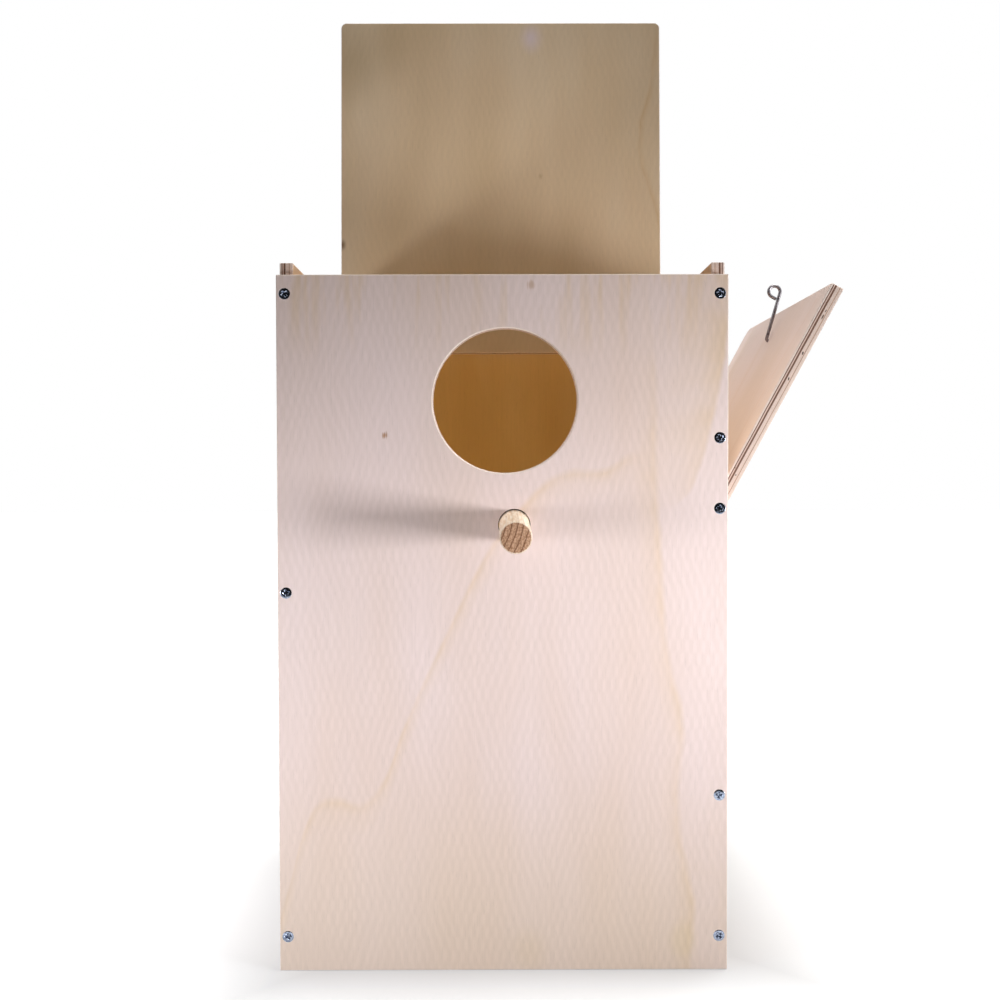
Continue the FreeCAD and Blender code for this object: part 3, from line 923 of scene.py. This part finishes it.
def perchPiece():
    radius = (perchHigh.x - perchLow.x) / 2 / mm
    # the loose dowel is tipped, so its axis comes from the middles of its two ends
    bm = copyOfNode("perch")
    spots = [v.co.copy() for v in bm.verts]
    bm.free()
    middles = []
    for limit in (perchLow.y, perchHigh.y):
        end = [spot for spot in spots if abs(spot.y - limit) < perchDowel["endReach"] * mm]
        middles.append(sum(end, Vector()) / len(end))
    axis = (middles[1] - middles[0]).normalized()
    reach = [axis.dot(spot) for spot in spots]
    length = (max(reach) - min(reach)) / mm
    ease = perchDowel["easing"]
    nick = ease * perchDowel["nick"]
    sawn = [(0, 0), (radius * 0.5, 0), (radius - ease, 0), (radius - nick, nick), (radius, ease)]
    side = [(radius, length * share) for share in (0.25, 0.5, 0.75)]
    otherEnd = [(out, length - up) for out, up in reversed(sawn)]
    bm = turnedShape(sawn + side + otherEnd, perchDowel["steps"])
    # the saw leaves the rim a little ragged
    inwards, upwards = (ease * share for share in perchDowel["raggedRim"])
    for vert in bm.verts:
        out = Vector((vert.co.x, vert.co.y, 0))
        between = upwards < vert.co.z / mm < length - upwards
        if out.length > (radius - inwards) * mm and not between:
            rough = abs(noise.noise(vert.co / mm * perchDowel["raggedScale"]))
            vert.co -= out.normalized() * rough * perchDowel["raggedness"] * mm
    for face in bm.faces:
        face.material_index = 1 if abs(face.normal.z) > boardEdges["faceShare"] else 0
    # the turned shape grows inwards from the outer end
    centre = middles[0] + axis * (min(reach) - axis.dot(middles[0]))
    turn = Vector((0, 0, 1)).rotation_difference(axis).to_matrix().to_4x4()
    bmesh.ops.transform(bm, matrix=Matrix.Translation(centre) @ turn, verts=bm.verts)
    shadeByAngle(bm, perchDowel["shadeAngle"])
    sideWood = dowelWood("spruceSide", perchDowel["sideTones"], perchDowel["sideLate"], centre)
    endWood = dowelWood("spruceEnd", perchDowel["endTones"], perchDowel["endLate"], centre)
    addPiece("perch", bm, [sideWood, endWood])


perchPiece()
print("perch made")


# Screws: zinc-plated wood screws with a cross recess, their heads flush with the plywood

crossScrew = {
    "steps": 40,
    "headHeight": 1.6,
    "flatShare": 0.55,
    "rimEasing": 0.12,
    "rimShape": ((1.0, 0.1), (0.3, 0.4), (0.0, 1.2)),  # inwards and down, in easings
    "neck": 0.5,
    "crestRadius": 1.25,
    "coreRadius": 0.88,
    "pitch": 1.5,
    "ridgeHalf": 0.3,  # of the pitch
    "ridgeRoot": 0.1,
    "threadStart": 1.0,  # below the head
    "plainLength": 1.2,
    "threadSteps": 18,
    "pointLength": 3.0,
    "recessSpan": 3.0,
    "recessWidth": 0.9,
    "recessDepth": 1.6,
    "recessAbove": 0.5,
    "recessTaper": 0.65,
    "recessEasing": 0.22,
    "mouthReach": 0.55,  # of the span
    "mouthAngle": 40,
    "flatAngle": 0.5,
    "shadeAngle": 32,
    "seed": 4,
    "tones": ("#737D92", "#B3BDD0"),
    "cloudSizes": (0.9, 0.9, 0.9),
    "roughness": (0.08, 0.24),
}
screwNodes = {
    "front_left_screws": -1, "front_right_upper_screws": -1, "front_right_lower_screws": -1,
    "door_pivot_screw_front": -1, "back_left_screws": 1, "back_right_upper_screws": 1,
    "back_right_lower_screws": 1, "door_pivot_screw_back": 1,
}
cloudStops = (0.3, 0.7)  # where a metal's dark patches end and its pale ones begin


def cloudedMetal(name, look, **sockets):
    # bare metal with patches that are darker and duller than the rest
    material, tree, shader = newMaterial(name, Metallic=1.0, **sockets)
    cloud = addNode(tree, "ShaderNodeTexNoise", {"Scale": 1.0, "Detail": 4.0, "Vector": addNode(
        tree, "ShaderNodeMapping", {
            "Vector": placeInMillimetres(tree), "Scale": perSize(look["cloudSizes"])})})
    tone = addNode(tree, "ShaderNodeValToRGB", {"Fac": cloud}, stops=zip(cloudStops, look["tones"]))
    first, last = look["roughness"]
    rough = addNode(tree, "ShaderNodeMapRange", {"Value": cloud, "To Min": first, "To Max": last})
    setInputs(tree, shader, {"Base Color": tone, "Roughness": rough})
    return material


def screwMesh():
    # made head up, with the flat of the head at zero height
    low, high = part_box("door_pivot_screw_front")
    head = (high.x - low.x) / 2 / mm
    length = (high.y - low.y) / mm
    size = crossScrew
    core, crest, under = size["coreRadius"], size["crestRadius"], -size["headHeight"]
    ease = size["rimEasing"]
    rim = [(head - ease * inwards, -ease * down) for inwards, down in size["rimShape"]]
    body = turnedShape([(0, 0), (head * size["flatShare"], 0)] + rim + [
        (crest, under), (core, under - size["neck"]), (core, size["pointLength"] - length),
        (0, -length)], size["steps"])
    # thread: a sharp ridge swept down the core in a helix
    turns = (length - size["headHeight"] - size["pointLength"] - size["plainLength"]) / size["pitch"]
    steps = round(turns * size["threadSteps"])
    thread = bmesh.new()
    top = under - size["threadStart"]
    half = size["pitch"] * size["ridgeHalf"]
    root = core - size["ridgeRoot"]
    ridge = [thread.verts.new((radius * mm, 0, height * mm)) for radius, height in (
        (root, top + half), (crest, top), (root, top - half))]
    face = thread.faces.new(ridge)
    drop = -size["pitch"] / size["threadSteps"] * mm
    bmesh.ops.spin(thread, geom=ridge + list(face.edges) + [face], cent=(0, 0, 0), axis=(0, 0, 1),
                   dvec=(0, 0, drop), angle=2 * math.pi * steps / size["threadSteps"], steps=steps)
    bmesh.ops.recalc_face_normals(thread, faces=thread.faces)
    threaded = combined(body, thread, "UNION")
    # cross recess: a cube with its four sides drawn out, narrowing downwards
    recess = bmesh.new()
    bmesh.ops.create_cube(recess, size=1.0)
    width, span, depth = size["recessWidth"], size["recessSpan"], size["recessDepth"]
    above = size["recessAbove"]
    bmesh.ops.scale(recess, vec=(width * mm, width * mm, (depth + above) * mm), verts=recess.verts)
    bmesh.ops.translate(recess, vec=(0, 0, (above - depth) / 2 * mm), verts=recess.verts)
    sides = [f for f in recess.faces if abs(f.normal.z) < 0.5]
    drawn = bmesh.ops.extrude_discrete_faces(recess, faces=sides)["faces"]
    for side in drawn:
        bmesh.ops.translate(recess, vec=side.normal * (span - width) / 2 * mm, verts=side.verts)
    for vert in recess.verts:
        if vert.co.z < 0:
            vert.co.x *= size["recessTaper"]
            vert.co.y *= size["recessTaper"]
    bmesh.ops.recalc_face_normals(recess, faces=recess.faces)
    driven = combined(threaded, recess, "DIFFERENCE")
    # the driver has rounded the mouth of the recess, which is where the head glints
    flat = math.radians(size["flatAngle"])
    bmesh.ops.dissolve_limit(driven, angle_limit=flat, verts=driven.verts, edges=driven.edges)
    steep, reach = math.radians(size["mouthAngle"]), span * size["mouthReach"] * mm
    mouth = [e for e in driven.edges if e.calc_face_angle(0) > steep
             and all(abs(v.co.z) < mergeGap and v.co.length < reach for v in e.verts)]
    bmesh.ops.bevel(driven, geom=mouth, offset=size["recessEasing"] * mm, segments=1, profile=0.5,
                    affect="EDGES", material=-1)
    mesh = bpy.data.meshes.new("screw")
    driven.to_mesh(mesh)
    driven.free()
    return mesh


def headSpots(node, axis, way):
    # the middle of each head in a CAD node, where it faces out along an axis
    spots = []
    for low, high in solidBoxes(node):
        middle = (low + high) / 2
        middle[axis] = low[axis] if way < 0 else high[axis]
        spots.append(middle)
    return spots


def placeCopies(mesh, axis, spots, shadeAngle):
    # puts one copy of a mesh at each spot, its Z axis along axis, each turned by its own angle
    group = bmesh.new()
    facing = Vector(axis).to_track_quat("Z", "Y").to_matrix().to_4x4()
    for spot, angle in spots:
        before = len(group.verts)
        group.from_mesh(mesh)
        group.verts.ensure_lookup_table()
        moved = group.verts[before:]
        matrix = Matrix.Translation(spot) @ facing @ Matrix.Rotation(angle, 4, "Z")
        bmesh.ops.transform(group, matrix=matrix, verts=moved)
    shadeByAngle(group, shadeAngle)
    return group


def addScrews():
    # Bright zinc plating: a cool mirror dulled by fine handling marks
    plate = cloudedMetal("zincPlate", crossScrew)
    mesh = screwMesh()
    angles = random.Random(crossScrew["seed"])
    for node, way in screwNodes.items():
        spots = [(spot, angles.uniform(0, math.pi / 2)) for spot in headSpots(node, 1, way)]
        group = placeCopies(mesh, (0, way, 0), spots, crossScrew["shadeAngle"])
        addPiece(node, group, [plate])


addScrews()
print("screws made,", len(screwNodes), "groups")


# Nails: bright drawn-steel round heads, in the floor's edges and as the lid's pivots

roundNail = {
    "steps": 32,
    "headHeight": 0.9,
    "dome": 0.15,
    "domeShape": ((0.6, 0.3), (0.9, 1.0), (1.0, 2.5)),  # shares of the head's radius and of the dome
    "rimEasing": 0.15,
    "underShare": 0.95,
    "neck": 0.2,
    "shankRadius": 0.9,
    "pointLength": 2.0,
    "shadeAngle": 32,
    "tones": ("#85868A", "#B4B5B8"),
    "cloudSizes": (0.8, 0.8, 0.8),
    "roughness": (0.18, 0.42),
    "edgeTint": "#8D8A90",
}
nailNodes = {
    "floor_nails_left": -1, "floor_nails_right": 1, "lid_pivot_nail_left": -1, "lid_pivot_nail_right": 1,
}


def addNails():
    size = roundNail
    # Drawn steel left bright: grey with fine dull patches, greyer where it is seen at a slant
    steel = cloudedMetal("brightNailSteel", size, Specular_Tint=linearColour(size["edgeTint"]))
    low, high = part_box("lid_pivot_nail_right")
    head = (high.z - low.z) / 2 / mm
    length = (high.x - low.x) / mm
    shank, under, ease = size["shankRadius"], -size["headHeight"], size["rimEasing"]
    dome = [(head * out, -size["dome"] * down) for out, down in size["domeShape"]]
    bm = turnedShape([(0, 0)] + dome + [
        (head, under + ease), (head * size["underShare"], under), (shank + ease, under),
        (shank, under - size["neck"]), (shank, size["pointLength"] - length), (0, -length)],
        size["steps"])
    mesh = bpy.data.meshes.new("nail")
    bm.to_mesh(mesh)
    bm.free()
    for node, way in nailNodes.items():
        spots = [(spot, 0.0) for spot in headSpots(node, 0, way)]
        group = placeCopies(mesh, (way, 0, 0), spots, size["shadeAngle"])
        addPiece(node, group, [steel])


addNails()
print("nails made,", len(nailNodes), "groups")


# Latch: one length of galvanised wire, bent to an eye

wireLatch = {
    "shadeAngle": 40,
    "tones": ("#807A7F", "#ABA6AA"),
    "cloudSizes": (0.6, 0.6, 2.5),
    "roughness": (0.18, 0.42),
    "edgeTint": "#8D8A90",
}


def latchPiece():
    # Galvanised drawn wire: a warmer grey than the nails, with longer dull patches
    wire = cloudedMetal("galvanisedWire", wireLatch, Specular_Tint=linearColour(wireLatch["edgeTint"]))
    bm = copyOfNode("wire_latch")
    shadeByAngle(bm, wireLatch["shadeAngle"])
    addPiece("wire_latch", bm, [wire])


latchPiece()
print("latch made")
